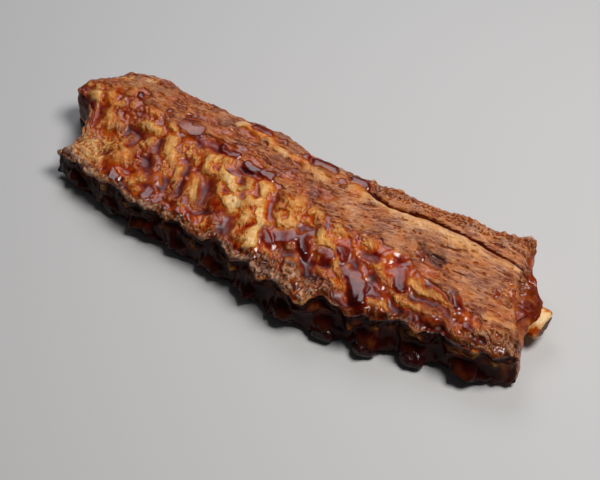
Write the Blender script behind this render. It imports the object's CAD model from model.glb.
"""The looks of a glazed rack of loin ribs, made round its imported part.

Lengths are in millimetres in the rack's own directions until a mesh is made, which is in metres.
The rack's own origin is the middle of the rack; `PLACE` is where that lies in the frame.
A place in the meat is given by s along it, v across it, from 0 at the front to 1 at the loin edge,
and w up through it, from 0 at the underside to 1 at the top.
"""
import bpy
import numpy as np
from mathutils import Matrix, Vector


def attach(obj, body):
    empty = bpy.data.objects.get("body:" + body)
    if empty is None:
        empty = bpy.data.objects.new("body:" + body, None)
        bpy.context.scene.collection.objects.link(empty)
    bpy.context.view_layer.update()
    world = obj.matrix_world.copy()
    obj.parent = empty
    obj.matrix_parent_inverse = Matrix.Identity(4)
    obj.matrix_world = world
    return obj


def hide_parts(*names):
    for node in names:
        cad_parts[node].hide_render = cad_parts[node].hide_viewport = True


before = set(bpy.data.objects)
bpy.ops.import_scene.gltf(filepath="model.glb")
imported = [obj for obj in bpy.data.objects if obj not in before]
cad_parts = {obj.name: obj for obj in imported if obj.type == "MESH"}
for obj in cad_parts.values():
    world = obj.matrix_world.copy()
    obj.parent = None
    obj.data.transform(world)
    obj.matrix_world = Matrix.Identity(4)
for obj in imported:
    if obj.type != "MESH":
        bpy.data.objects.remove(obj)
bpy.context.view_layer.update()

# ---- The slab of meat ---------------------------------------------------------------------------
# One piece of roast pork: the fine-grained loin along the back, the ribs' lumpy meat and fat in
# front of it, and a dry bark along the front lip.  The sauce was brushed on and has run into every
# hollow, where it stands deep and dark.

PLACE = np.array([4.9416, -3.1377, 0])
LENGTH = 403
SLANT = 0.37
TOP_ROUNDING = (4.5, 11)
END_ROUNDING = 6.5
FRONT_EDGE = ((-203, -30), (-192, -32), (-165, -38), (-130, -46), (-90, -51), (-57, -53), (-30, -57),
              (0, -62), (25, -65), (50, -61), (80, -57), (110, -49), (140, -43), (165, -42), (188, -37),
              (203, -31))
LOIN_EDGE = ((-203, 40), (-192, 53), (-178, 64), (-160, 74), (-140, 77), (-105, 73), (-63, 71),
             (-30, 71), (-8, 69), (12, 63), (35, 60), (90, 61), (150, 63), (185, 66), (203, 74))
LIP_HEIGHT = ((-203, 26), (-150, 31), (-70, 34.5), (30, 35.5), (120, 36), (203, 33))
RIB_MEAT_HEIGHT = ((-203, 30), (-150, 35), (-70, 38.5), (10, 41), (110, 43), (203, 37))
CREST_HEIGHT = ((-203, 36), (-150, 41), (-70, 44), (10, 47), (110, 48), (203, 42))
EDGE_HEIGHT = ((-203, 35), (-150, 41), (-70, 43), (10, 45), (110, 46), (203, 45))
RIB_LINES = (-186, -149, -113, -80, -48, -15, 19, 51, 85, 122, 161)
BONE_HALF = (6.5, 4.6)      # half width and half height
BONE_FLARE = (0.55, 0.42)   # and the share they gain at the front
BONE_ARCH = 5
GROOVE_GAP = 0.45
STRIP = (0.8, 0.83, 0.955)


def curve(points, x):
    """Smooth curve through points: cubic pieces whose end slopes are the mean of both sides."""
    px, py = np.array(points, dtype=float).T
    slope = np.gradient(py, px)
    x = np.clip(x, px[0], px[-1])
    k = np.clip(np.searchsorted(px, x, side="right") - 1, 0, len(px) - 2)
    h = px[k + 1] - px[k]
    t = (x - px[k]) / h
    return (py[k] * (1 + 2 * t) * (1 - t) ** 2 + py[k + 1] * t * t * (3 - 2 * t)
            + h * (slope[k] * t * (1 - t) ** 2 - slope[k + 1] * t * t * (1 - t)))


def step(lo, hi, x):
    """0 below lo, 1 above hi, and 3t^2 - 2t^3 between."""
    t = np.clip((x - lo) / (hi - lo), 0, 1)
    return t * t * (3 - 2 * t)


def fall(lo, hi, x):
    """1 below lo, 0 above hi, with the same smooth step between."""
    return 1 - step(lo, hi, x)


def hump(centre, half, x):
    """1 at the centre, falling smoothly to 0 at half a width away."""
    return fall(0, half, np.abs(x - centre))


def bone_size(v):
    """Half width and half height of a rib: slim under the loin, flaring to its front end."""
    return [half * (1 + gain * fall(0, 0.24, v)) for half, gain in zip(BONE_HALF, BONE_FLARE)]


def bone_middle(v):
    """Height of a rib's middle: its half height plus an arch, a half sine along the rib."""
    return bone_size(v)[1] + BONE_ARCH * np.sin(np.pi * np.clip((v - 0.04) / 0.86, 0, 1))


def top_height(s, v):
    """Height of the meat: from the lip up to the rib meat, the loin's crest and the loin's edge."""
    lip, rib = curve(LIP_HEIGHT, s), curve(RIB_MEAT_HEIGHT, s)
    crest, edge = curve(CREST_HEIGHT, s), curve(EDGE_HEIGHT, s)
    z = lip + (rib - lip) * step(-0.12, 0.36, v) + (crest - rib) * step(0.3, 0.72, v)
    z = z + (edge - crest) * step(0.74, 0.95, v)
    ribs = np.cos(2 * np.pi * (s - RIB_LINES[5]) * (len(RIB_LINES) + 1) / LENGTH)
    return z + 1.1 * ribs * fall(0.3, 0.5, v) * fall(40, 110, s)


def underside_height(s, v):
    """Height of the lower side: webs between the ribs, a round groove over each, a strip at the loin.

    Over a rib, at a distance d from its line, the groove stands sqrt(1 - (d / reach)^2) of its
    half height above the rib's middle.
    """
    reach, tall = bone_size(v)
    reach, tall = reach + GROOVE_GAP, tall + GROOVE_GAP
    off = np.min(np.abs(s[..., None] - np.array(RIB_LINES)), -1)
    groove = tall * np.sqrt(np.clip(1 - (off / reach) ** 2, 0, 1))
    z = bone_middle(v) + np.where(off < reach, groove, 1 + 1.5 * fall(0, 0.05, v))
    return z * fall(*STRIP[:2], v) + 5 * step(STRIP[2], 1, v)


def plan_point(s, v, w):
    """x and y: y runs from front to loin edge by v, and x is s less the slant times y."""
    front, back = curve(FRONT_EDGE, s), curve(LOIN_EDGE, s)
    y = front + (back - front) * v
    undercut = 1.5 * fall(0, 0.9, w) + 2.5 * hump(0.55, 0.4, w)
    wave = 0.9 * np.sin(2 * np.pi * s / 47 + 0.6) * step(0.3, 0.8, w)
    y = y + (undercut + wave) * fall(-0.04, 0.16, v)
    y = y - 5 * fall(0, 0.75, w) * step(0.9, 1, v)
    x = s - SLANT * y
    left = fall(0, 24, s + LENGTH / 2)
    right = step(-16, 0, s - LENGTH / 2)
    notch = step(-29, -4, y) * fall(12, 28, y)
    x = x + left * (12 * notch - 8 * hump(36, 19, y) - 4 * hump(-31, 12, y))
    x = x + right * (12 * hump(26, 28, y) * hump(0.42, 0.55, w)
                     - 4 * step(0.6, 1, w) * hump(16, 34, y))
    return x, y


def slab_point(s, v, w):
    """A point of the slab, its edges rounded, and its unrolled distance q across the rack.

    Near an edge the distances to the faces that meet there, each over its radius, are shortened
    to the length of the largest, which turns the square edge into an arc.  q is y on top, and
    goes on beyond both edges by the depth below them.
    """
    top, under = top_height(s, v), underside_height(s, v)
    depth = (1 - w) * (top - under)
    radius = TOP_ROUNDING[0] + (TOP_ROUNDING[1] - TOP_ROUNDING[0]) * v
    width = curve(LOIN_EDGE, s) - curve(FRONT_EDGE, s)
    rim = np.minimum(v, 1 - v) * width
    end = LENGTH / 2 - np.abs(s)
    near = np.clip(1 - np.stack([end / END_ROUNDING, rim / radius, depth / radius]), 0, 1)
    low = near * (near.max(0) / np.maximum(np.linalg.norm(near, axis=0), 1e-9))
    lowered = np.where(near[2] > 0, radius * (1 - low[2]), depth)
    rim_r = np.where(near[1] > 0, radius * (1 - low[1]), rim)
    v_r = np.where(v < 0.5, rim_r / width, 1 - rim_r / width)
    s_r = np.where(near[0] > 0, np.sign(s) * (LENGTH / 2 - END_ROUNDING * (1 - low[0])), s)
    x, y = plan_point(s_r, v_r, w)
    q = curve(FRONT_EDGE, s) + width * v + np.where(v < 0.5, -depth, depth)
    return np.stack([x, y, top - lowered], -1), q


def closed_grid(rings, first, last):
    """Faces of a tube of rings of equal size, each end closed by a fan round a middle point."""
    n, m = rings
    i, j = np.meshgrid(np.arange(n - 1), np.arange(m), indexing="ij")
    a, b = i * m + j, i * m + (j + 1) % m
    quads = np.stack([a, a + m, b + m, b], -1).reshape(-1, 4)
    k = np.arange(m)
    start = np.stack([np.full(m, first), k, (k + 1) % m], -1)
    stop = np.stack([np.full(m, last), (n - 1) * m + (k + 1) % m, (n - 1) * m + k], -1)
    split = np.concatenate([quads[:, [0, 1, 2]], quads[:, [0, 2, 3]]])
    return np.concatenate([split, start, stop])


def point_normals(points, triangles):
    """Unit normals: the sum of the triangles' area normals round each point."""
    p = points[triangles]
    area = np.cross(p[:, 1] - p[:, 0], p[:, 2] - p[:, 0])
    total = np.stack([sum(np.bincount(triangles[:, c], area[:, k], len(points)) for c in range(3))
                      for k in range(3)], -1)
    return total / np.maximum(np.linalg.norm(total, axis=1, keepdims=True), 1e-12)


def noise(p, seed):
    """Gradient noise, about -1 to 1: random slopes at whole numbers, blended by 6t^5 - 15t^4 + 10t^3."""
    cell = np.floor(p).astype(np.int64)
    t = p - cell
    blend = t * t * t * (t * (t * 6 - 15) + 10)
    total = np.zeros(len(p))
    for corner in np.ndindex(2, 2, 2):
        c = cell + corner
        h = c[:, 0] * 374761393 + c[:, 1] * 668265263 + c[:, 2] * 2147483647 + seed * 1274126177
        h = h & 0xffffffff
        h = ((h ^ (h >> 13)) * 1274126177) & 0xffffffff
        h = h ^ (h >> 16)
        angle, tilt = (h & 0xffff) / 65536 * 2 * np.pi, (h >> 16) / 65536 * 2 - 1
        flat = np.sqrt(1 - tilt ** 2)
        slope = np.stack([np.cos(angle) * flat, np.sin(angle) * flat, tilt], -1)
        weight = np.prod(np.where(corner, blend, 1 - blend), -1)
        total += weight * ((t - corner) * slope).sum(-1)
    return total * 1.6


def layers(p, seed, count=4, fade=0.5):
    """Noise on top of noise, each layer twice as fine and `fade` times as strong."""
    return sum(noise(p * 2 ** k, seed + 7 * k) * fade ** k for k in range(count))


def distance(path, s, q):
    """Distance from each point (s, q) to the nearest point of a bent line, or to a single place."""
    pts = np.array(path, dtype=float)
    if len(pts) == 1:
        return np.hypot(s - pts[0, 0], q - pts[0, 1])
    best = np.full(s.shape, np.inf)
    for (sa, qa), (sb, qb) in zip(pts[:-1], pts[1:]):
        ds, dq = sb - sa, qb - qa
        t = np.clip(((s - sa) * ds + (q - qa) * dq) / (ds ** 2 + dq ** 2), 0, 1)
        best = np.minimum(best, np.hypot(s - sa - t * ds, q - qa - t * dq))
    return best


# Stations along the rack, and the ring round each: up the front, over the top, down the back and
# along the underside.  Smaller and smaller rings close each end.
N_ALONG, N_FRONT, N_TOP, N_BACK, N_UNDER, N_CAP = 416, 34, 130, 18, 26, 24


def ring_parameters():
    """v and w once round the slab's section, starting at the bottom of the front face."""
    up, over, down, home = (np.arange(n) / n for n in (N_FRONT, N_TOP, N_BACK, N_UNDER))
    v = np.concatenate([0 * up, over, 0 * down + 1, 1 - home])
    return v, np.concatenate([up, 0 * over + 1, 1 - down, 0 * home])


ring_v, ring_w = ring_parameters()
shrink = np.arange(N_CAP, 0, -1) / (N_CAP + 1)
half = LENGTH / 2
station = np.concatenate([np.full(N_CAP, -half), np.linspace(-half, half, N_ALONG), np.full(N_CAP, half)])
size = np.concatenate([shrink[::-1], np.ones(N_ALONG), shrink])
S = np.repeat(station, len(ring_v))
V = (0.5 + (ring_v - 0.5) * size[:, None]).ravel()
W = (0.5 + (ring_w - 0.5) * size[:, None]).ravel()
S, V, W = np.append(S, (-half, half)), np.append(V, (0.5, 0.5)), np.append(W, (0.5, 0.5))
base, Q = slab_point(S, V, W)
triangles = closed_grid((len(station), len(ring_v)), len(S) - 2, len(S) - 1)
normal = point_normals(base, triangles)
links = np.concatenate([triangles[:, [0, 1]], triangles[:, [1, 2]], triangles[:, [2, 0]]])
link_count = np.bincount(links[:, 0], minlength=len(S))


def spread(field, rounds):
    """The field smoothed over the mesh: each round moves a point to the mean of its neighbours."""
    for _ in range(rounds):
        field = 0.5 * field + 0.5 * np.bincount(links[:, 0], field[links[:, 1]], len(S)) / link_count
    return field


def cloud(size, seed, count=3, fade=0.5):
    """Noise over the slab in patches about `size` millimetres across, in `count` layers."""
    return layers(base / size, seed, count, fade)


def streaks(seed, count, a, b, c=0, fade=0.5):
    """Layered noise at a place of its own, which draws it out along the rack's grain or folds."""
    return layers(np.stack([a, b, c + 0 * S], -1), seed, count, fade)


Y, Z = base[:, 1], base[:, 2]
FRONT, BACK = curve(FRONT_EDGE, S), curve(LOIN_EDGE, S)
at_end = np.append(np.repeat(size, len(ring_v)), (0, 0)) < 1
Q = np.where(at_end | (W <= 0), Y, Q)
below_top = top_height(S, V) - Z
on_cap = np.append(step(0, 0.6, 1 - np.repeat(size, len(ring_v))), (1, 1))
off_cap = 1 - on_cap
face_up = step(-0.1, 0.5, normal[:, 2])
face_front = fall(0, 0.12, V) * (1 - face_up)
in_front = fall(0, 0.12, V) * (1 - face_up * step(0.75, 1, W))
face_under = step(0.2, 0.8, -normal[:, 2])
depth_below = np.maximum(FRONT - Q, 0)

# Organic outlines: every patch below is looked up at a place that wanders by a few millimetres.
wander = np.stack([cloud(9, seed) for seed in (11, 12)])
s_w = S + 2.3 * wander[0]
q_w = Q + 2.3 * wander[1]
swell = 1 + 0.45 * cloud(13, 13, 2)


def patch(rows, soft=0.6):
    """The strongest of many patches: for each row, 1 within its half width of its line, 0 outside."""
    total = np.zeros(len(S))
    for half_width, amount, *path in rows:
        d = distance(path, s_w, q_w) / (half_width * swell)
        total = np.maximum(total, amount * fall(1 - soft, 1 + soft, d))
    return total


def mounds(rows, wider=1):
    """Heights added up: each row's ridge has a section (1 - d^2)^2 of its half width."""
    total = np.zeros(len(S))
    for half_width, height, *path in rows:
        d = np.clip(distance(path, s_w, q_w) / (half_width * wider * swell), 0, 1)
        total += height * (1 - d * d) ** 2
    return total


# The line where the loin's long muscle ends and the ribs' meat begins.
LOIN_LINE = ((-203, 46), (-160, 42), (-130, 34), (-100, 26), (-60, 23), (-20, 14), (10, 8), (40, 5),
             (60, 1), (95, 0), (115, -7), (140, -16), (160, -22), (203, -30))
BARK_WIDTH = ((-203, 9), (-175, 8), (-150, 7), (-100, 6), (-55, 7), (-25, 9), (0, 16), (30, 22),
              (50, 15), (62, 4), (80, 4), (110, 6), (140, 4), (165, 13), (185, 18), (203, 16))

# In each row of these tables stand a half width, a height or strength, and the points (s, q) of a line.
# Ridges and lumps of fat, creamy where the sauce is thin.
FAT_RIDGES = (
    (4.5, 2.2, (-183, 31), (-184, 20), (-182, 8)), (6, 1.4, (-173, 35), (-167, 31)),
    (6.5, 1.2, (-167, 16), (-166, 10)), (5, 1, (-132, 35), (-126, 33)), (6, 1.6, (-131, 20), (-122, 20)),
    (5, 1.2, (-127, 8)), (6.5, 1.7, (-107, 17), (-104, 1)), (4.5, 0.7, (-103, -8), (-104, -22)),
    (5, 1.2, (-110, 27), (-100, 25)), (7, 1.4, (-145, -15), (-148, -22)),
    (5, 1.2, (-131, -33), (-122, -28), (-115, -24)), (4, 1.2, (-93, -6), (-92, -14)),
    (4.5, 1.3, (-77, -8), (-76, -18), (-75, -25)), (7, 1.2, (-70, 14), (-69, 4)),
    (8, 1, (-62, 18), (-61, 6)), (6, 1.4, (-54, 16), (-54, 4)), (4, 1.4, (-55, -8), (-53, -18)),
    (8, 2.8, (-47, 2), (-42, -8), (-38, -19)), (6.5, 2.4, (-17, 8), (-16, -10), (-14, -26), (-17, -42)),
    (8, 1.9, (-29, -4), (-28, -16), (-26, -24)), (6, 1.8, (-70, 10), (-69, -2)),
    (6, 1.3, (-34, -3), (-33, -14)), (5, 1.3, (-23, 5), (-23, -10)), (4.5, 1.5, (-26, -9), (-24, -19)),
    (4.5, 1.4, (-46, -18), (-44, -26)), (7, 1.8, (10, 3), (10, -8), (8, -18)), (4, 1.2, (24, 2), (32, 3)),
    (5, 1, (44, 1), (50, -1)), (4.5, 1.4, (36, -13), (39, -20), (46, -19)), (3.5, 0.8, (-8, -22), (2, -24)),
    (3, 1.8, (-55, 58), (-46, 55.5), (-38, 54)), (3.8, 2, (-36, 54), (-26, 53)),
    (3, 1.8, (-24, 51), (-14, 46), (-4, 44), (8, 43.5)), (5, 1.1, (12, 42), (20, 40)),
    (4, 0.9, (20, 36), (27, 36)), (5, 1.4, (54, 40), (62, 36)), (3, 0.6, (66, 36), (88, 33)),
    (2, 0.9, (88, 35), (120, 34.5), (150, 34)), (1.4, 0.8, (150, 34), (175, 32.5), (192, 32)),
    (4.5, 0.8, (130, -16), (136, -18)), (4.5, 0.9, (117, -13)), (5, 0.8, (112, -19), (125, -21)),
    (4, 1, (75, -3), (88, -4)), (4, 1.2, (97, 0), (91, -9), (83, -17)), (5, 1.4, (152, -41), (160, -40)),
    (2.6, 0.8, (170, -17), (182, -14), (192, -13)), (6, 1.2, (36, -66)), (6, 1.4, (70, -62)),
    (5, 1, (-168, -36), (-155, -38)),
)
# Fat that lies flat, with no ridge of its own, by how pale it is.
FAT_FLATS = (
    (9, 0.55, (-165, 6), (-168, -3)), (12, 0.5, (-71, 4), (-74, -22)), (12, 0.66, (-186, -14), (-165, -20)),
    (5, 0.6, (-155, 50)), (2, 0.7, (-180, 60), (-172, 58), (-162, 62)), (1.8, 0.7, (-147, 65), (-138, 67)),
    (11, 0.8, (-66, 12), (-56, 8)), (6, 0.6, (-152, -5), (-151, -12)), (5, 0.5, (-167, 48), (-163, 42)),
    (8, 0.7, (14, -2), (26, -3)), (5, 0.55, (-97, 12)), (8, 0.6, (0, -8), (12, -14)),
    (8, 0.55, (25, -2), (12, -2)), (6, 0.75, (45, -8), (40, -16)), (6, 0.65, (55, 42), (62, 34)),
    (5, 0.6, (104, -18), (118, -18)), (6, 0.35, (190, 34), (182, 31)), (5, 0.5, (15, 56), (12, 60)),
    (5, 0.35, (-28, -24), (-30, -34)), (4, 0.55, (-17, -44), (-12, -50)), (5, 0.6, (-10, -25), (-3, -24)),
    (5, 0.6, (-128, 17), (-122, 15)), (6, 0.6, (99, 32), (108, 34), (118, 34)),
    (5, 0.6, (136, 32), (158, 31)), (6, 0.4, (134, 27), (150, 26)), (7, 0.35, (-97, 34)),
    (9, 0.5, (18, -4), (24, 0)), (14, 0.22, (100, 24), (130, 26)), (10, 0.25, (170, 52), (185, 56)),
)
# Lean lumps and folds that stand up.
LEAN_LUMPS = (
    (6.5, 1.6, (-155, 45)), (7, 1.5, (-155, 11)), (9, 1.6, (-140, -19)), (8, 1.4, (-97, 33)),
    (7, 1.2, (-88, 34)), (6, 2.4, (-32, 8), (-31, 4)), (8.5, 2.4, (0, 3), (-2, -4), (-1, -12)),
    (6, 1.3, (33, -1), (34, -7)), (3.5, 1.4, (37, -9)), (6, 1.8, (147, -22)), (5, 1.4, (155, -23)),
    (8, 1.6, (128, -33), (142, -32)), (7, 1.2, (107, -31), (112, -34)), (6, 1.6, (-108, -22), (-108, -30)),
    (7, 1.2, (-56, -38), (-46, -37)), (8, 1.2, (-28, -28), (-29, -38)), (5, 1.4, (162, -27), (168, -30)),
    (5, 1.2, (175, -27), (180, -32)), (5, 1, (-60, -22)), (6, 1.3, (-138, 70), (-132, 70)),
    (6, 1.2, (-121, 68)), (5, 1.1, (26, 46), (36, 51), (46, 56)), (7, 1.3, (20, -50), (18, -58)),
    (6, 1.1, (36, -52), (34, -60)), (6, 1.2, (2, -48), (0, -56)), (5, 1.3, (51, -47), (50, -55)),
    (5, 1.2, (-143, -31)), (4.5, 1.1, (-100, -44), (-92, -46)), (4, 1.1, (-82, -43)), (4, 1.1, (-72, -44)),
    (6, 1.3, (88, -20), (92, -26)), (5, 1.2, (86, -45), (92, -48)),
    (2.2, 1.3, (-150, -6), (-140, -7), (-132, -13), (-126, -24)),
    (1.6, 1, (-146, -9), (-138, -10), (-131, -17)), (8, 1.2, (197, 66), (203, 70)),
    (6, 1, (-198, -25), (-192, -22)),
)
# Hollows where sauce stands deep.
HOLLOWS = (
    (7, 3.2, (-197, 33), (-198, 24)), (3.6, 1.8, (-190, 24), (-190, 6)), (5.5, 2.8, (-182, 20), (-182, 8)),
    (5, 2, (-146, 12), (-133, 12)), (3.5, 1.6, (-150, 8)), (5, 1.2, (-139, 3)),
    (3, 2, (-116, 14), (-116, 2)), (4, 2.2, (-123, -8), (-119, -16), (-116, -24)), (3.5, 1.8, (-116, -33)),
    (4, 2.2, (-101, -20), (-102, -28)), (3.5, 2.2, (-88, 4), (-85, -8)), (3.5, 2, (-86, -18), (-87, -28)),
    (3.5, 2, (-84, 32), (-83, 22)), (5, 2, (-71, 28), (-64, 26)),
    (5.5, 1.8, (-67, -4), (-66, -16), (-68, -24)), (4, 2, (-64, -32), (-70, -36)),
    (7, 1.1, (-41, -36), (-43, -44)), (2, 0.6, (-35, 4), (-34, -8), (-33, -20)),
    (3, 1.6, (-40, 15), (-33, 17.5), (-25, 14)), (2.6, 0.8, (-12, -28), (-6, -26)),
    (4, 1.8, (10, -38), (17, -37)), (6, 2.4, (36, -34), (35, -43)), (4.5, 2.2, (45, -34)),
    (2.4, 2.2, (22, -25), (28, -38), (31, -44)), (5, 2.6, (60, -22), (68, -24)),
    (3, 2.2, (55, -20), (60, -31), (69, -43), (73, -51)), (3, 1.8, (84, -28), (81, -40)),
    (3, 1.6, (73, -12), (83, -14)), (2, 1, (113, 13), (121, 11), (134, 12)), (5, 1, (119, 7), (128, 8)),
    (2.6, 1.8, (181, 2.5), (189, 2)), (4, 1.8, (126, -12), (141, -13)),
    (2.6, 1.8, (114, -29), (124, -26), (139, -26.5), (148, -34)), (2.6, 2, (164, -36.5), (173, -36)),
    (4, 2.4, (198, 28), (199, 6), (198, -4)), (2.4, 1.4, (18, -14), (25, -10.5), (33, -8.5)),
    (6, 2.4, (58, -55), (66, -52)), (4, 2.4, (14, 52), (15, 47)), (4, 1.8, (64, 52), (68, 47)),
    (2.2, 1.2, (24, 30), (27, 20), (22, 10)), (4, 2.4, (103, -42), (110, -45)),
    (3, 2, (120, -41), (126, -40)), (3, 2, (138, -40), (146, -41)), (4, 2.2, (-60, -31)),
    (3, 1.8, (-133, -37), (-128, -40)), (2, 1.6, (-165, -18), (-156, -14)), (2.6, 1.8, (-191, -15)),
)
# Places where the sauce lies level and shines.
POOLS = (
    (3.5, 1, (-147, 45)), (3, 0.9, (-148, 4)), (3.5, 0.8, (-147, -33), (-146, -37)),
    (4, 0.6, (-111, -36), (-113, -40)), (4, 0.9, (-118, 40)), (9, 0.8, (-100, 34), (-90, 34)),
    (3.5, 1, (-62, 26.5), (-55, 24), (-47, 26)), (4.5, 1, (-37, 21), (-29, 19.5)),
    (5, 1, (-22, 18), (-16, 19)), (3.6, 1, (-48, 8), (-43, 9)), (4, 0.9, (-57, -23)),
    (3.5, 0.9, (-95, -44)), (3.5, 1, (-83, -41), (-82, -45)), (4, 1, (-72, -42)),
    (5, 1, (-3, -36), (-8, -32)), (6, 1, (4, -27), (15, -24)), (5, 1, (28, -14), (24, -22), (26, -30)),
    (5.5, 1, (38, -26), (48, -26)), (4, 1, (56, -17), (57, -24)), (7, 1, (68, -33), (74, -38), (77, -46)),
    (4, 1, (85, -39), (93, -39)), (6, 1, (104, -15), (105, -27)), (5, 0.9, (146, -8), (150, -18)),
    (7, 1, (22, 50), (30, 50)), (4, 0.9, (8, 52)), (5, 1, (54, 49), (62, 48)), (5.5, 0.8, (116, 7)),
    (4, 0.8, (178, 7)), (5, 0.9, (-40, 60), (-30, 61)), (4, 0.8, (-12, 58)), (5, 0.7, (42, 40)),
    (5, 0.9, (136, -34)), (4, 0.9, (160, -29)), (3, 1, (-196, 31)), (4, 0.8, (120, 47)),
)
# Thin slits.
SLITS = (
    (1.3, 0.8, (-41, -10), (-40, -17)), (1.3, 1, (-52, 22), (-62, 23)),
    (1.2, 0.9, (28, 6), (35, 7), (40, 4), (43, 0.5)), (1.1, 0.8, (43, 0.5), (50, 1.5), (57, 1)),
    (1.3, 1, (39, 1), (39, -9)), (1.2, 0.9, (52, -13), (52.5, -26)), (1.2, 1, (107, -20), (107, -33)),
    (1.5, 0.9, (73, 20), (78, 21)), (1.2, 0.8, (-63, 22), (-50, 20)),
    (1.2, 0.8, (20, 45), (27, 42.5), (34, 47)), (1.2, 0.8, (34, 37), (45, 35.5)),
    (1.3, 0.9, (155, -19), (173, -19)), (1.3, 1, (0, 6), (5, 1), (3, -6), (-3, -9)),
    (1.2, 0.9, (-5, 5), (-1, 0)), (1.4, 1, (-138, -34), (-141, -40)), (1.3, 0.9, (176, -33), (190, -31)),
    (1.2, 0.8, (165, 44), (176, 48)), (1.4, 0.9, (180, 58), (188, 57)), (1.2, 0.9, (-104, 10), (-96, 8)),
    (1.3, 1, (-92, -17), (-96, -22), (-92, -26)), (1.2, 0.8, (130, 22), (150, 27)),
)
# Charred spots.
CHARRED = (
    (2.6, 0.7, (-104, 28), (-97, 23)), (2, 0.6, (-83, -31), (-78, -33)), (2.4, 0.5, (-132, -34)),
    (5, 0.9, (115, 13), (124, 10), (132, 12)), (2, 0.8, (121, 9), (126, 11), (136, 12)),
    (1.6, 0.6, (113, 9), (118, 13)),
)
# Places stained deep red-brown by thick sauce, by its millimetres.
STAINS = (
    (6, 1.4, (-42, -33), (-43, -42)), (6, 1, (-183, 16), (-182, 6)), (5, 0.9, (-81, -4), (-83, -14)),
    (5, 0.8, (-108, -20), (-107, -31)), (6, 1.2, (-76, 28), (-68, 26)), (8, 1.5, (64, -16), (74, -26)),
    (8, 1.5, (86, -8), (101, -6)), (8, 0.7, (112, -6), (130, -3)), (6, 0.7, (120, 4), (134, 7)),
    (5, 0.8, (150, -21), (162, -22)), (6, 0.6, (176, -12), (190, -9)), (6, 0.9, (190, 12), (197, 10)),
    (6, 0.5, (-42, 29), (-30, 26)), (7, 0.6, (-10, 30), (8, 24)), (6, 0.9, (-147, -30), (-142, -34)),
    (5, 0.8, (-132, -27), (-126, -25)), (5, 0.8, (-64, -37), (-73, -39)), (4, 0.9, (-50, 10), (-43, 10)),
    (6, 0.6, (30, -42), (44, -42)), (4, 0.7, (-11, 12), (-18, 13)),
)
# Dark tongues of sauce over the lip.
TONGUES = (
    (5.5, 1, (50, -59), (62, -58), (76, -56)), (3.5, 0.9, (86, -54), (98, -51)),
    (4, 0.9, (108, -46), (120, -44)), (4, 0.9, (128, -43), (150, -41), (166, -40)),
    (3, 0.8, (180, -38), (190, -36)),
)
# The open seam between the loin and the strip behind it.
CREVICE = ((40, 54), (56, 48), (70, 41.5), (82, 38), (96, 38.5), (110, 41), (145, 40.5), (165, 39),
           (185, 37.5), (203, 36.5))

loin = step(-4, 5, q_w - curve(LOIN_LINE, S)) * off_cap
bark = fall(0.75, 1.25, (Q - FRONT + 2 * wander[0]) / curve(BARK_WIDTH, S))
bark = bark * step(-4, 0, Q - FRONT) * off_cap
rough = (1 - loin) * face_up * (1 - 0.5 * bark)
toasted = np.maximum(step(0.93, 1, V) * (1 - face_up), on_cap) * (1 - face_under)
bark = np.maximum(bark, 0.5 * toasted * step(-0.3, 0.6, cloud(15, 76)))
fat = np.maximum(patch([(r[0] * 1.3, min(0.42 + 0.19 * r[1], 0.98), *r[2:]) for r in FAT_RIDGES], 0.95),
                 patch(FAT_FLATS, 0.95))
fat = fat * (1 - step(3, 14, below_top) * np.maximum(at_end, face_under))
rough = rough * (1 - 0.55 * fat)
fat = np.maximum(fat, (1 - loin) * (1 - bark) * step(-0.8, 0.5, cloud(16, 71)) * 0.6)
side_seam = hump(11, 5, np.abs(Q - BACK) + 4 * cloud(26, 74, 1)) * step(0.93, 1, V)
fat = np.maximum(fat, 0.8 * side_seam * step(-0.5, 0.2, cloud(20, 75, 1)))
pool = patch(POOLS, 0.45)
# Small charred spots lie near the lip too.
char = step(0.35, 0.75, cloud(5, 77)) * hump(4, 16, Q - FRONT) * (1 - 0.8 * fat)
char = np.maximum(char * face_up, patch(CHARRED, 0.8)) * off_cap
slit = patch(SLITS, 0.5)
well = patch([(r[0] * 1.3, 1, *r[2:]) for r in HOLLOWS], 0.7) * (1 - pool)

# Relief in millimetres: the placed ridges and hollows, then the lumps, wrinkles and grain that
# fill the rest.  Absolute noise, here less its mean, gives round lumps with sharp creases between.
relief = 1.55 * mounds(FAT_RIDGES, 1.45) + 1.6 * mounds(LEAN_LUMPS, 1.2) - 1.5 * mounds(HOLLOWS, 1.45)
relief = (spread(relief, 8) - mounds(SLITS)) * (1 - step(3, 12, below_top) * at_end)
big_lump = np.abs(cloud((17, 17, 13), 36, 2)) - 0.35
lump = np.abs(cloud((11, 11, 14), 31, 3, 0.6)) - 0.35
small_lump = np.abs(cloud(4.6, 35, 2, 0.6)) - 0.3
crumb = np.abs(cloud(3.6, 37, 3, 0.6)) - 0.2
lean_over = S + 0.6 * Q * step(10, 60, S)
fold = streaks(33, 3, lean_over / 11 + 0.4 * wander[0], Q / 26 + 0.3 * wander[1], fade=0.55)
fold = np.abs(fold) - 0.33
sweep = 0.35 * np.clip(S - 35, 0, 75) + 0.12 * np.clip(S - 110, 0, 100)
grain_way = S + 0.25 * Q, Q - sweep + 2.2 * cloud(30, 41, 1) + 1.3 * cloud(11, 42, 2)
grain = streaks(43, 2, grain_way[0] / 22, grain_way[1] / 2.6)
relief += rough * (2.2 * fold + 1.2 * lump + 0.4 * small_lump)
wrinkle = streaks(45, 3, grain_way[0] / 12, grain_way[1] / 4.6, fade=0.6)
relief += loin * (0.25 * grain + 0.55 * wrinkle + cloud((26, 14, 14), 47) - 0.4 * small_lump - 0.12)
bark_lines = np.abs(streaks(51, 2, S / 4.2 + 0.4 * wander[0], Q / 12, Z / 14)) - 0.3
relief += bark * (2.4 * bark_lines + 2 * lump + 0.5 * small_lump + 0.1)
behind = step(0.8, 0.92, V) * step(30, 70, S)
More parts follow.
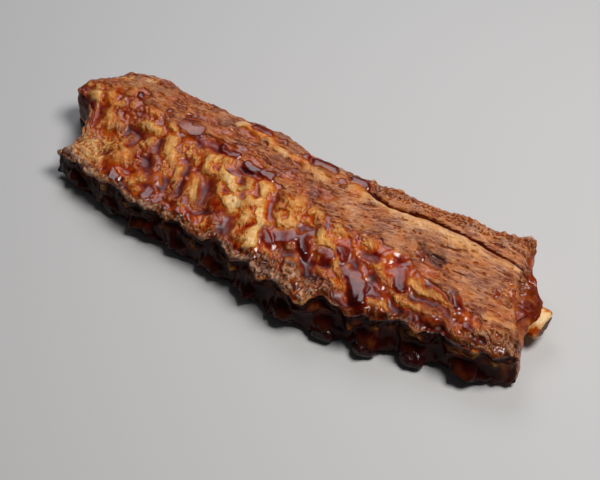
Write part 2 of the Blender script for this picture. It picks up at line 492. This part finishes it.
edge_bumps = 1.2 * small_lump + 1.6 * cloud(8, 52, 2) + 0.06
relief += (step(0.86, 1, V) + 0.7 * step(-170, -195, S)) * face_up * edge_bumps
relief += behind * face_up * (1.6 * lump + 1.7 * crumb)
relief += 1.6 * hump(0, 9, Q - FRONT) * off_cap * cloud(8, 55, 2)
# The seam is deepest in its middle, and narrows and grows shallow towards the thick end.
closing = step(118, 165, S)
seam = np.abs(Q - curve(CREVICE, S) + 0.7 * cloud(9, 53, 1)) * (1 + 0.8 * closing)
open_seam = step(56, 74, S) * fall(196, 205, S) * face_up
seam_depth = 7.5 * (0.75 + 0.25 * hump(105, 60, S)) * (1 - 0.55 * closing)
relief -= open_seam * seam_depth * fall(0.6, 3.4, seam)
# The front face hangs in lumps over the rib ends, with dark hollows between them.
rib_phase = np.min(np.abs(S[:, None] - np.array(RIB_LINES)), -1)
down = step(4, 26, depth_below)
bulge = fall(4, 16, rib_phase + 4 * wander[0])
under_lip = hump(7, 6, depth_below) * (1 - 0.8 * step(45, 70, S))
under_lip = under_lip * (0.35 + 0.65 * step(-0.3, 0.3, wander[1]))
relief += face_front * (down * (6.5 * bulge + 3.5) - 3 * under_lip
                        + 7 * big_lump + 1.6 * lump + 0.5 * small_lump)
# Fine creases run over the lumpy meat and fat.
crease = np.abs(streaks(49, 2, lean_over / 5.5 + 0.5 * wander[1], Q / 8 + 0.5 * wander[0], Z / 8))
relief -= 0.45 * fall(0, 0.16, crease) * rough * step(-0.4, 0.5, cloud(18, 50, 2))
# Lumps of rib meat and fat that stand out of the dark front face, by s and the depth below the lip.
FRONT_LUMPS = (
    (6, 3, (29, 5), (33, 3)), (4.5, 2.4, (40, 26)), (5, 3.4, (73, 13)), (5, 2.6, (92, 14), (92, 22)),
    (6, 3.6, (113, 19)), (5, 2.6, (100, 24)), (7, 3.4, (121, 4), (131, 5)),
    (3.5, 2.4, (139, 15), (140, 23)), (5.5, 3.2, (148, 18)), (7.5, 3.6, (156, 9), (168, 7)),
    (5, 2.6, (160, 20), (166, 22)), (5.5, 3, (181, 11)), (5, 2.8, (193, 11)), (5, 2.6, (-8, 10), (-10, 20)),
    (6, 2.6, (-30, 8), (-26, 12)), (5, 2.4, (-62, 12)), (5, 2.2, (-92, 14)), (5, 2.6, (-128, 10)),
    (6, 2.6, (-152, 8)), (4.5, 2.4, (-176, 10)),
)
front_lump = np.zeros(len(S))
for half_width, tall, *path in FRONT_LUMPS:
    off = distance(path, s_w, depth_below + 2 * wander[1]) / (half_width * swell)
    front_lump = np.maximum(front_lump, 1.25 * tall * (1 - np.clip(off, 0, 1) ** 2))
relief += face_front * front_lump
# A pale, dry, crumbled rim stands out along the lip, ragged in front.
rim = hump(1, 6, Q - FRONT + 1.8 * wander[1]) * off_cap
rim = rim * (1 - 0.75 * step(48, 66, S) * fall(150, 168, S))
rim = rim * (0.15 + 0.85 * step(-0.35, 0.25, cloud((17, 17, 40), 40, 2)))
# Elsewhere, most towards the thick end, dark sauce comes up over the lip in tongues.
tongue = hump(-2, 10, Q - FRONT) * step(0.1, 0.6, cloud(11, 84))
tongue = np.maximum(0.6 * tongue, patch(TONGUES, 0.8)) * off_cap
rim = rim * (1 - tongue)
relief += rim * (2.4 * crumb + 0.8) + 3 * hump(-1.5, 3, Q - FRONT) * off_cap * (big_lump + 0.05)
# The back face and the two ends are roasted too, and sauce has run down them.
face_back = step(0.93, 1, V) * (1 - face_up) * (1 - face_under)
drip = step(-0.1, 0.5, streaks(73, 3, S / 10 + Y / 10, Z / 60) - 0.4 * step(8, 34, below_top))
relief += face_back * (4.5 * (big_lump - 0.03) + 1.8 * lump + 0.6 * small_lump + 0.6 * drip)
relief += on_cap * (3 * (big_lump - 0.03) + 1.4 * lump + 0.4 * small_lump + 0.5 * drip)
relief = relief * (1 - 0.9 * face_under) * (1 - 0.85 * step(-194, -201, S) * hump(0, 16, Q - FRONT))
relief += 0.05 * cloud(2.2, 57, 2)
relief += 0.9 * patch(POOLS, 0.6) * (0.35 * spread(relief, 60) - relief)
relief += 0.8 * tongue * (spread(relief, 12) - relief)
# At the thin end a bare lobe of rib meat lies in front.
lobe = patch([(14, 1, (-190, -17), (-172, -19))], 0.6)
relief += lobe * (1.5 * lump + 0.9 * small_lump)
rim = np.maximum(rim, 0.3 * lobe)
# The thick end rounds down with folds in it, and its far corner is dry and crumbled.
end_fold = np.abs(streaks(48, 2, 0 * S, Y / 6, Z / 30 + S / 40)) - 0.3
ending = step(184, 203, S) * fall(2, 16, below_top) * (1 - behind)
relief += 2.2 * step(186, 202, S) * end_fold * (1 - face_under) * (1 - 0.7 * on_cap) - 3.2 * ending ** 1.5
corner = patch([(6, 1, (194, 72), (202, 66)), (5, 1, (203, 60))], 0.5)
relief += 2.2 * corner * crumb
rim = np.maximum(rim, 0.8 * corner)
rim = np.maximum(rim, (0.55 + 0.35 * step(120, 150, S)) * behind * face_up * step(-0.2, 0.5, cloud(9, 56)))
notch_shade = on_cap * hump(22, 36, Y) * np.where(S < 0, 1, 0.7)

# Sauce finds its own level: a smoothed copy of the relief, raised where it pools.
level = spread(relief, 26) - 0.35 + 0.5 * cloud(16, 61, 1) + 0.3 * cloud(6, 62, 1)
level = level - 0.35 * loin - 0.8 * bark * (1 - pool) + 0.5 * face_front
# The meat under a pool slopes, so the pool's own surface is tilted back to level.
reach = 0.02
slope = top_height(S, np.clip(V + reach, 0, 1)) - top_height(S, np.clip(V - reach, 0, 1))
slope = slope / (2 * reach * (BACK - FRONT))
tilt = np.zeros(len(S))
for half_width, _, *path in POOLS:
    in_pool = distance(path, s_w, q_w) < 1.8 * half_width
    tilt = np.where(in_pool, -slope * (Q - np.mean(path, axis=0)[1]), tilt)
tilt = spread(np.clip(tilt, -1.2, 1.8), 4)
level = level + pool * (0.5 * spread(relief, 60) - level + 1.25 + tilt)
over = level - relief
soft_edge = 0.35
depth = (np.clip(over, -soft_edge, soft_edge) + soft_edge) ** 2 / (4 * soft_edge)
depth = (depth + np.maximum(over - soft_edge, 0)) * (1 - face_under) * off_cap
# Everywhere else there is a film: millimetres of it by how much lean, fat or bark lies under it.
film = 0.12 + 0.34 * step(-0.5, 0.8, cloud(15, 63)) + 1.6 * in_front * down - 0.15 * rim
film += patch(STAINS, 0.9)
film *= 1 - (0.7 - 0.35 * step(-50, -60, S)) * fat * (1 - 0.3 * loin)
film += 0.35 * (1 - fat) * (1 - loin) * (1 - bark) * face_up
film += loin * 0.65 * step(-0.2, 0.7, cloud((24, 14, 20), 64)) * (1 - 0.7 * step(40, 90, S))
film *= 1 - 0.25 * loin * step(40, 110, S)
film += 0.3 * np.exp(-(over / 0.22) ** 2) * (1 - 0.8 * bark) * (1 - 0.5 * loin) * off_cap
film += (0.6 + 1.6 * loin) * np.clip(spread(relief, 5) - relief - 0.08, 0, 1.5) * off_cap
film += 2.6 * (1 - loin) * (1 - 0.7 * rim) * off_cap * step(-1.4, 2.6, spread(relief, 70) - relief) ** 1.7
film += np.maximum(face_back, on_cap) * (0.15 + 0.55 * drip) + 0.35 * on_cap
film += 0.8 * tongue
on_lump = step(0.8, 3.6, front_lump) * step(-0.5, 0.3, wander[0]) * fall(11, 18, depth_below)
on_lump = on_lump * in_front * (1 - 0.3 * step(60, 90, S))
film *= (1 - 0.7 * lobe) * (1 - 0.6 * on_lump)
shape = base + normal * spread(relief + depth, 1)[:, None]
# The meat of the front face hangs lower than the webs behind it, least over the rib ends.
hang = fall(0, 0.1, V) * fall(0.15, 0.6, W) * off_cap
shape[:, 2] -= hang * (3.6 + 2.2 * wander[1] + 2 * step(8, 14, rib_phase))
# The lip itself runs in and out by a few millimetres.
at_lip = fall(0.02, 0.16, V) * step(0.35, 0.8, W) * step(-200, -180, S)
shape[:, 1] += 3.4 * streaks(39, 3, S / 15, 0 * S, 0.5) * at_lip
shape[:, 2] += 2.2 * streaks(39, 3, S / 15 + 7.3, 0 * S + 7.3, 7.8) * at_lip * off_cap
# Nothing rises far above the flat of the loin, or stands far out in front.
TOP_LIMIT, FRONT_LIMIT = 48.2, -73
shape[:, 2] -= 0.4 * np.maximum(shape[:, 2] - TOP_LIMIT, 0)
shape[:, 1] -= 0.5 * np.minimum(shape[:, 1] - FRONT_LIMIT, 0)


def add(name, data):
    """A new object in the scene."""
    made = bpy.data.objects.new(name, data)
    bpy.context.scene.collection.objects.link(made)
    return made


def mesh_object(name, points, faces, fields, maps={}):
    """A smooth mesh from millimetre points, with point fields and UV maps by their names."""
    mesh = bpy.data.meshes.new(name)
    mesh.vertices.add(len(points))
    mesh.vertices.foreach_set("co", ((points + PLACE) * 0.001).astype(np.float32).ravel())
    mesh.loops.add(faces.size)
    mesh.loops.foreach_set("vertex_index", faces.astype(np.int32).ravel())
    mesh.polygons.add(len(faces))
    mesh.polygons.foreach_set("loop_start", np.arange(len(faces), dtype=np.int32) * faces.shape[1])
    mesh.update(calc_edges=True)
    mesh.validate()
    mesh.shade_smooth()
    for key, values in fields.items():
        layer = mesh.attributes.new(key, "FLOAT", "POINT")
        layer.data.foreach_set("value", np.asarray(values, np.float32))
    for key, places in maps.items():
        layer = mesh.uv_layers.new(name=key)
        layer.data.foreach_set("uv", places.astype(np.float32).ravel())
    return add(name, mesh)


class Shader:
    """Short ways to write a node tree: each call adds its nodes and returns the last one's output."""

    def __init__(self, name):
        self.material = bpy.data.materials.new(name)
        self.material.use_nodes = True
        self.tree = self.material.node_tree
        self.surface = self.tree.nodes["Principled BSDF"]

    def node(self, kind, settings=(), **inputs):
        """A node with its settings; its inputs, values or links, go by name (spaces as _) or i0, i1."""
        made = self.tree.nodes.new(kind)
        for key, value in settings:
            setattr(made, key, value)
        for key, value in inputs.items():
            self.put(made.inputs[int(key[1:]) if key[1:].isdigit() else key.replace("_", " ")], value)
        return made

    def put(self, socket, value):
        if isinstance(value, bpy.types.NodeSocket):
            self.tree.links.new(value, socket)
        elif isinstance(value, tuple) and len(value) == 3 and socket.type == "RGBA":
            socket.default_value = (*value, 1)
        else:
            socket.default_value = value

    def set(self, name, value):
        self.put(self.surface.inputs[name], value)

    def field(self, name):
        return self.node("ShaderNodeAttribute", (("attribute_name", name),)).outputs["Fac"]

    def math(self, operation, a, b=0, clamp=False):
        settings = (("operation", operation), ("use_clamp", clamp))
        return self.node("ShaderNodeMath", settings, i0=a, i1=b).outputs[0]

    def plus(self, a, b):
        return self.math("ADD", a, b)

    def times(self, a, b):
        return self.math("MULTIPLY", a, b)

    def rest(self, value):
        """One less the value."""
        return self.math("SUBTRACT", 1, value)

    def swing(self, value, amount):
        """Noise about a half, made noise about zero and `amount` wide."""
        return self.times(self.math("SUBTRACT", value, 0.5), amount)

    def ramp(self, value, lo, hi, out_lo=0, out_hi=1):
        """Smooth step from out_lo to out_hi while the value goes from lo to hi."""
        return self.node("ShaderNodeMapRange", (("interpolation_type", "SMOOTHSTEP"),), Value=value,
                         From_Min=lo, From_Max=hi, To_Min=out_lo, To_Max=out_hi).outputs[0]

    def blend(self, factor, a, b, way="MIX"):
        settings = (("data_type", "RGBA"), ("blend_type", way))
        return self.node("ShaderNodeMix", settings, i0=factor, i6=a, i7=b).outputs[2]

    def glaze(self, colour, amount):
        """The colour as seen through an amount of sauce, in millimetres."""
        tint = self.node("ShaderNodeGamma", i0=(*SAUCE_TINT, 1), i1=amount).outputs[0]
        return self.blend(1, colour, tint, "MULTIPLY")

    def bump(self, strength, height):
        made = self.node("ShaderNodeBump", Strength=strength, Distance=1, Height=height)
        self.set("Normal", made.outputs[0])

    def grainy(self, scale, detail, where=None, stretch=(1, 1, 1), roughness=0.5):
        """Noise, 0 to 1, of features `scale` to the metre, or to the unit of the UV map given."""
        if where is None:
            where = self.node("ShaderNodeTexCoord").outputs["Object"]
        place = self.node("ShaderNodeMapping", i0=where, i3=stretch).outputs[0]
        return self.node("ShaderNodeTexNoise", Vector=place, Scale=scale, Detail=detail,
                         Roughness=roughness).outputs[0]


SAUCE_TINT = (0.6, 0.215, 0.035)      # what one millimetre of sauce lets through
THICK_SAUCE = (0.017, 0.0025, 0.002)
LEAN, LEAN_DARK = (0.61, 0.29, 0.155), (0.21, 0.05, 0.016)
FIBRE_PALE, FIBRE_DARK = (0.88, 0.53, 0.4), (0.21, 0.046, 0.018)
FAT, FAT_BROWNED = (1, 0.71, 0.33), (0.92, 0.44, 0.105)
FAT_PALE, FAT_SHADE = (1, 0.82, 0.49), (0.62, 0.27, 0.07)
FAT_CREAM, LOIN_FAT = (1, 0.79, 0.48), (0.9, 0.61, 0.38)
RIB_MEAT = (0.42, 0.135, 0.036)
BARK, BARK_DARK = (0.5, 0.31, 0.25), (0.04, 0.011, 0.008)
CRUMB, CRUMB_DARK = (0.66, 0.42, 0.3), (0.3, 0.13, 0.085)
IN_CRACK, BURNT = (0.16, 0.035, 0.012), (0.09, 0.022, 0.012)
THINNEST = 0.02

m = Shader("roast_meat_and_sauce")
grain_uv, rib_uv = (m.node("ShaderNodeUVMap", (("uv_map", k),)).outputs[0] for k in ("grain", "rib_grain"))
fat_f, sauce_f, bark_f, dark_f, loin_f = (m.field(k) for k in ("fat", "sauce", "bark", "dark", "loin"))
wide = m.grainy(70, 4)
fleck = m.grainy(420, 3)
speck = m.grainy(1100, 2)
fibre = m.grainy(1, 6, grain_uv, (0.055, 0.36, 1), 0.72)
fine_fibre = m.grainy(1, 3, grain_uv, (0.12, 0.95, 1), 0.65)
rib_fibre = m.grainy(1, 4, rib_uv, (0.1, 0.6, 1), 0.65)
crinkle = m.math("ABSOLUTE", m.swing(m.grainy(190, 5), 1))
streak = m.math("ABSOLUTE", m.swing(m.grainy(1, 4, rib_uv, (0.07, 0.36, 1), 0.6), 1))
crack = m.math("MINIMUM", m.ramp(crinkle, 0, 0.018), m.ramp(streak, 0, 0.022))
# Lean meat with pale and dark fibres, browner between the ribs.
lean = m.blend(m.ramp(m.plus(fibre, m.swing(wide, 0.7)), 0.36, 0.62), LEAN_DARK, LEAN)
lean = m.blend(m.ramp(fine_fibre, 0.5, 0.66, 0, 0.6), lean, FIBRE_PALE)
lean = m.blend(m.ramp(fine_fibre, 0.46, 0.3, 0, 0.4), lean, FIBRE_DARK)
lean = m.blend(m.times(m.rest(loin_f), 0.6), lean, RIB_MEAT)
# Fat, streaked along the ribs, creamy where it is thick and duller on the loin.
pale = m.blend(m.ramp(wide, 0.4, 0.62), FAT_BROWNED, FAT)
pale = m.blend(m.ramp(rib_fibre, 0.48, 0.34, 0, 0.45), pale, FAT_SHADE)
pale = m.blend(m.ramp(rib_fibre, 0.52, 0.66, 0, 0.55), pale, FAT_PALE)
creamy = m.times(m.ramp(fat_f, 0.68, 0.95), m.ramp(rib_fibre, 0.38, 0.56, 0.15, 0.8))
pale = m.blend(creamy, pale, FAT_CREAM)
pale = m.blend(m.times(loin_f, 0.6), pale, LOIN_FAT)
streaky = m.plus(m.swing(rib_fibre, 0.7), m.swing(fleck, 0.2))
ground = m.blend(m.ramp(m.plus(fat_f, streaky), 0.1, 0.9), lean, pale)
# Dry bark, the crumbled rim of the lip, small cracks and burnt spots.
bark_grain = m.plus(m.times(rib_fibre, 0.7), m.times(fleck, 0.3))
crust = m.blend(m.ramp(m.plus(bark_grain, m.swing(wide, 0.6)), 0.36, 0.62), BARK_DARK, BARK)
bark_mask = m.ramp(m.plus(bark_f, m.swing(fleck, 0.7)), 0.3, 0.7)
ground = m.blend(m.times(bark_mask, 0.85), ground, crust)
crumbled = m.blend(m.ramp(fleck, 0.4, 0.56), CRUMB_DARK, CRUMB)
ground = m.blend(m.times(m.field("rim"), 0.85), ground, crumbled)
ground = m.blend(m.times(m.rest(crack), 0.15), ground, IN_CRACK)
burnt = m.ramp(m.plus(m.field("char"), m.swing(fleck, 1)), 0.3, 0.9)
ground = m.blend(m.times(burnt, 0.85), ground, BURNT)
# The sauce tints what lies under it, and is almost black where it is thickest.
uneven = m.plus(m.swing(wide, 0.5), m.swing(fleck, 0.15))
sauce_amount = m.math("MAXIMUM", m.plus(sauce_f, uneven), THINNEST)
m.set("Base Color", m.blend(m.times(dark_f, 0.95), m.glaze(ground, sauce_amount), THICK_SAUCE))
wet = m.ramp(sauce_amount, 0.15, 0.6)
dry = m.times(bark_mask, m.rest(wet))
rough_out = m.plus(m.math("SUBTRACT", 0.3, m.times(wet, 0.16)), m.times(dry, 0.02))
rough_out = m.plus(rough_out, m.times(m.field("well"), 0.26))
m.set("Roughness", m.math("ADD", rough_out, m.swing(fleck, 0.12), clamp=True))
m.set("IOR", 1.5)
m.set("Subsurface Weight", 0.2)
m.set("Subsurface Radius", (0.004, 0.0015, 0.0006))
# Fibres and flecks stand up, in metres, where little sauce covers them.
height = m.times(m.plus(fibre, m.times(fine_fibre, 0.5)), m.times(loin_f, 0.0019))
on_ribs = m.times(m.rest(loin_f), 0.0016)
height = m.plus(height, m.times(m.plus(rib_fibre, m.times(crack, 0.2)), on_ribs))
height = m.plus(height, m.plus(m.times(fleck, 0.0004), m.times(speck, 0.0002)))
m.bump(0.9, m.times(height, m.rest(m.ramp(sauce_f, 0.25, 1, 0, 0.95))))

sauce = np.maximum(depth + film, THINNEST)
brown = step(-0.1, 0.5, cloud(9, 38)) * fall(10, 24, depth_below)
dark_front = in_front * step(0.5, 4, depth_below + 2 * wander[1]) * (1 - 0.24 * brown) * (1 - rim)
dark = np.maximum.reduce([
    np.clip(0.25 * slit + 0.95 * open_seam * fall(0.8, 2.6, seam), 0, 1), 0.75 * notch_shade,
    dark_front * (1 - 0.6 * on_lump), 0.7 * tongue, 0.4 * pool + 0.33 * well * (1 - loin)])
# On the two ends the meat is cut across its grain, so both maps run in y and z there.
corners = triangles.ravel()
end_way = np.stack([6.5 * Y, Z], -1)[corners]
cut_across = np.repeat(at_end[triangles].any(1), 3)[:, None]
maps = {"grain": np.stack(grain_way, -1), "rib_grain": np.stack([Q, lean_over + 2 * wander[0]], -1)}
maps = {name: np.where(cut_across, end_way, way[corners]) for name, way in maps.items()}
fields = dict(fat=fat, sauce=sauce, bark=bark, dark=dark, loin=loin, rim=rim, char=char, well=well)
slab = mesh_object("rack_meat", shape, triangles, fields, maps)
slab.data.materials.append(m.material)
# Sauce in deep shade, under the lip and in the seam, hardly shines.
shade = m.material.copy()
shade.name = "sauce_under_the_lip"
shade.node_tree.nodes["Principled BSDF"].inputs["IOR"].default_value = 1.2
slab.data.materials.append(shade)
in_seam = open_seam * fall(2.6, 3.6, seam)
shaded = np.maximum.reduce([in_front * step(2, 7, depth_below), notch_shade, in_seam, 0.7 * tongue])
in_shade = 0.45
slab.data.polygons.foreach_set("material_index", (shaded[triangles].mean(1) > in_shade).astype(np.int32))
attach(slab, "root")
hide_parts("meat")

# ---- The rib bones ------------------------------------------------------------------------------
# Eleven curved ribs lie side by side in grooves under the meat.  Each is slim under the loin and
# flares to a blunt end at the front, which is coated in sauce that ran down the front face.


RIB_END_EDGE = ((-203, -30), (-165, -43), (-130, -49), (-90, -53), (-57, -57), (-30, -61), (0, -66),
                (35, -69), (67, -69), (98, -64), (130, -55), (160, -47), (188, -41), (203, -33))
RIB_REAR = 0.79


def closed_tube(x, y, z):
    """Points and faces of a grid of rings, each end closed round the middle of its last ring."""
    rings = np.stack([x, y, z], -1)
    points = np.concatenate([rings.reshape(-1, 3), rings[[0, -1]].mean(1)])
    return points, closed_grid(rings.shape[:2], len(points) - 2, len(points) - 1)


def rib_surface(line, n_along=96, n_round=36):
    """One rib: ovals about its line, following the arch; both ends are rounded like half an oval.

    It runs from 1.5 mm past the edge of the rib ends to `RIB_REAR` of the way to the loin edge.
    """
    front, rear = curve(FRONT_EDGE, line), curve(LOIN_EDGE, line)
    tip = (curve(RIB_END_EDGE, line) - 1.5 - front) / (rear - front)
    v = tip + (RIB_REAR - tip) * np.linspace(0, 1, n_along)[:, None] ** 1.25
    out = np.clip((v - tip) * (rear - front) / 6, 0, 1)
    tail = np.clip((RIB_REAR - v) * (rear - front) / 5, 0, 1)
    size = 0.35 + 0.65 * np.sqrt(np.clip(1 - (1 - out) ** 2, 0, 1)) - 0.2 * (1 - tail) ** 2
    angle = 2 * np.pi * np.arange(n_round) / n_round
    wide, tall = bone_size(v)
    s = line + size * wide * np.cos(angle)
    x, y = plan_point(s, v + 0 * s, 0 * s)
    points, faces = closed_tube(x, y, bone_middle(v) + size * tall * np.sin(angle))
    ragged = np.repeat(v, n_round) + 0.16 * layers(points[:-2] / 9, 83, 3)
    return points, faces, np.append(fall(0.02, 0.3, ragged), (1, 0))


BONE_COLOURS = ((0.62, 0.4, 0.21), (0.3, 0.12, 0.045))
b = Shader("glazed_rib_bone")
mottle = b.grainy(90, 4)
pores = b.grainy(600, 3)
glaze_f = b.field("glaze")
bone = b.blend(b.ramp(mottle, 0.38, 0.62), *BONE_COLOURS)
thick = b.times(glaze_f, b.ramp(mottle, 0.3, 0.7, 3.5, 9))
coated = b.glaze(bone, b.plus(thick, 0.15))
b.set("Base Color", b.blend(b.times(glaze_f, 0.9), coated, (0.022, 0.0035, 0.003)))
b.set("Roughness", b.math("SUBTRACT", 0.5, b.times(glaze_f, b.ramp(mottle, 0.35, 0.6, 0.12, 0.36))))
b.set("IOR", 1.3)
b.bump(0.6, b.times(b.plus(pores, mottle), 0.0007))

for number, line in enumerate(RIB_LINES, 1):
    points, faces, glaze = rib_surface(line)
    out = point_normals(points, faces)
    lumps = glaze * (2.2 * noise(points / 8, 81) + 0.7 * noise(points / 3.5, 82))
    lumps = lumps * step(-0.6, 0.2, out[:, 2])
    rib = mesh_object(f"rib_{number:02d}", points + out * lumps[:, None], faces, {"glaze": glaze})
    rib.data.materials.append(b.material)
    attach(rib, "root")
    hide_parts(f"rib_bone_{number:02d}")

# ---- The last rib's cut end ---------------------------------------------------------------------
# A twelfth rib was sawn through at the thick end.  Its cream outside shows above the meat, and the
# cut face is dark and porous, with sauce in it.

STUB_MIDDLE = (203, 18, 16)
STUB_HALF = (12.5, 6.2)
STUB_REACH = (-12, 7)
STUB_TURN = (17, -6)
STUB_RIM = 2.4


def stub_surface(n_along=46, n_round=72, side=0.6):
    """An oval bar: the first rings, the share `side` of them, run along it to a rim like a quarter
    circle, and the rest shrink to close its cut face."""
    roll, yaw = np.radians(STUB_TURN)
    t = np.linspace(0, 1, n_along)[:, None]
    reach = STUB_REACH[0] + (STUB_REACH[1] - STUB_REACH[0]) * np.clip(t / side, 0, 1)
    to_rim = np.clip((reach - STUB_REACH[1] + STUB_RIM) / STUB_RIM, 0, 1)
    size = (1 - 0.2 * (1 - np.sqrt(1 - to_rim ** 2))) * (1 - 0.97 * np.clip((t - side) / (1 - side), 0, 1))
    size = size * (0.8 + 0.2 * step(0, 0.15, t))
    angle = 2 * np.pi * np.arange(n_round) / n_round
    wide, tall = size * STUB_HALF[0] * np.cos(angle), size * STUB_HALF[1] * np.sin(angle)
    y, z = wide * np.cos(roll) - tall * np.sin(roll), wide * np.sin(roll) + tall * np.cos(roll)
    x, y = reach * np.cos(yaw) - y * np.sin(yaw), reach * np.sin(yaw) + y * np.cos(yaw)
    points, faces = closed_tube(x, y, z)
    return points + STUB_MIDDLE, faces, np.append(np.repeat(step(side, side + 0.08, t), n_round), (0, 1))


points, faces, cut = stub_surface()
out = point_normals(points, faces)
pits = np.abs(layers(points / 2.6, 91, 2))
points = points + out * (0.55 * layers(points / 6, 92, 2) + cut * (0.9 * pits - 1.1))[:, None]
side = np.abs(points[:, 1] - STUB_MIDDLE[1]) / STUB_HALF[0]
splash = layers(points / 5, 93, 3) + 1.6 * step(201, 192, points[:, 0]) + 0.9 * step(0.45, 0.95, side)
splash = step(-0.1, 1, splash - 0.25)
OUTSIDE_COLOURS = ((0.66, 0.37, 0.16), (0.84, 0.64, 0.38))
MARROW_COLOURS = ((0.035, 0.02, 0.015), (0.26, 0.13, 0.07))
c = Shader("sawn_rib_end")
cloudy = c.grainy(160, 4)
spongy = c.grainy(900, 3)
cut_f = c.ramp(c.plus(c.field("cut"), c.swing(cloudy, 0.5)), 0.35, 0.65)
outside = c.blend(c.ramp(cloudy, 0.35, 0.65), *OUTSIDE_COLOURS)
marrow = c.blend(c.ramp(spongy, 0.42, 0.6), *MARROW_COLOURS)
c.set("Base Color", c.glaze(c.blend(cut_f, outside, marrow), c.field("sauce")))
c.set("Roughness", c.ramp(c.field("sauce"), 0.2, 0.9, 0.5, 0.15))
c.bump(0.7, c.times(spongy, 0.0006))
stub = mesh_object("sawn_rib", points, faces, {"cut": cut, "sauce": 0.1 + 1.7 * splash})
stub.data.materials.append(c.material)
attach(stub, "root")
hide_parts("rib_bone_12")

# ---- Floor, lights and camera -------------------------------------------------------------------
# A plain pale floor and two soft lights: a strong warm one above, to the right, and a weak cool one
# behind, to the left.  The camera looks down from the front right.

FLOOR_HALF = 3
floor_mesh = bpy.data.meshes.new("floor")
turns = ((-1, -1), (1, -1), (1, 1), (-1, 1))
floor_mesh.from_pydata([(FLOOR_HALF * x, FLOOR_HALF * y, 0) for x, y in turns], [], [(0, 1, 2, 3)])
floor = add("floor", floor_mesh)
plain = Shader("floor_paint")
plain.set("Base Color", (0.5, 0.5, 0.5))
plain.set("Roughness", 0.8)
floor_mesh.materials.append(plain.material)

LIGHT_DISTANCE = 1.3
MIDDLE = Vector((0.02, -0.004, 0.03))


def soft_light(name, direction, size, power, colour):
    """A square light in a direction from the rack's middle, and facing it."""
    data = bpy.data.lights.new(name, "AREA")
    data.shape = "RECTANGLE"
    data.size = data.size_y = size
    data.energy = power
    data.color = colour
    lamp = add(name, data)
    way = Vector(direction).normalized()
    lamp.location = MIDDLE + way * LIGHT_DISTANCE
    lamp.rotation_euler = way.to_track_quat("Z", "Y").to_euler()


soft_light("window", (-0.4, 0.52, 0.75), 0.68, 5.2, (0.91, 0.93, 1))
soft_light("key", (0.4, 0.15, 0.88), 0.5, 16.8, (1, 0.97, 0.94))
world = bpy.data.worlds.new("room")
world.use_nodes = True
sky = world.node_tree.nodes["Background"].inputs
sky["Color"].default_value = (0.9, 0.93, 1, 1)
sky["Strength"].default_value = 0.04
scene = bpy.context.scene
scene.world = world

LENS, DISTANCE = 88, 1.1
AZIMUTH, ELEVATION = np.radians(32), np.radians(46)
AIM, SHIFT = (0.02594, -0.00514, 0.02), (-0.00375, -0.0015)
flat = np.cos(ELEVATION)
back = Vector((np.sin(AZIMUTH) * flat, -np.cos(AZIMUTH) * flat, np.sin(ELEVATION)))
right = Vector((np.cos(AZIMUTH), np.sin(AZIMUTH), 0))
aim = Vector(AIM) + right * SHIFT[0] + back.cross(right) * SHIFT[1]
camera_data = bpy.data.cameras.new("camera")
camera_data.lens = LENS
camera = add("camera", camera_data)
camera.location = aim + back * DISTANCE
camera.rotation_euler = back.to_track_quat("Z", "Y").to_euler()
scene.camera = camera
scene.view_settings.view_transform = "Standard"
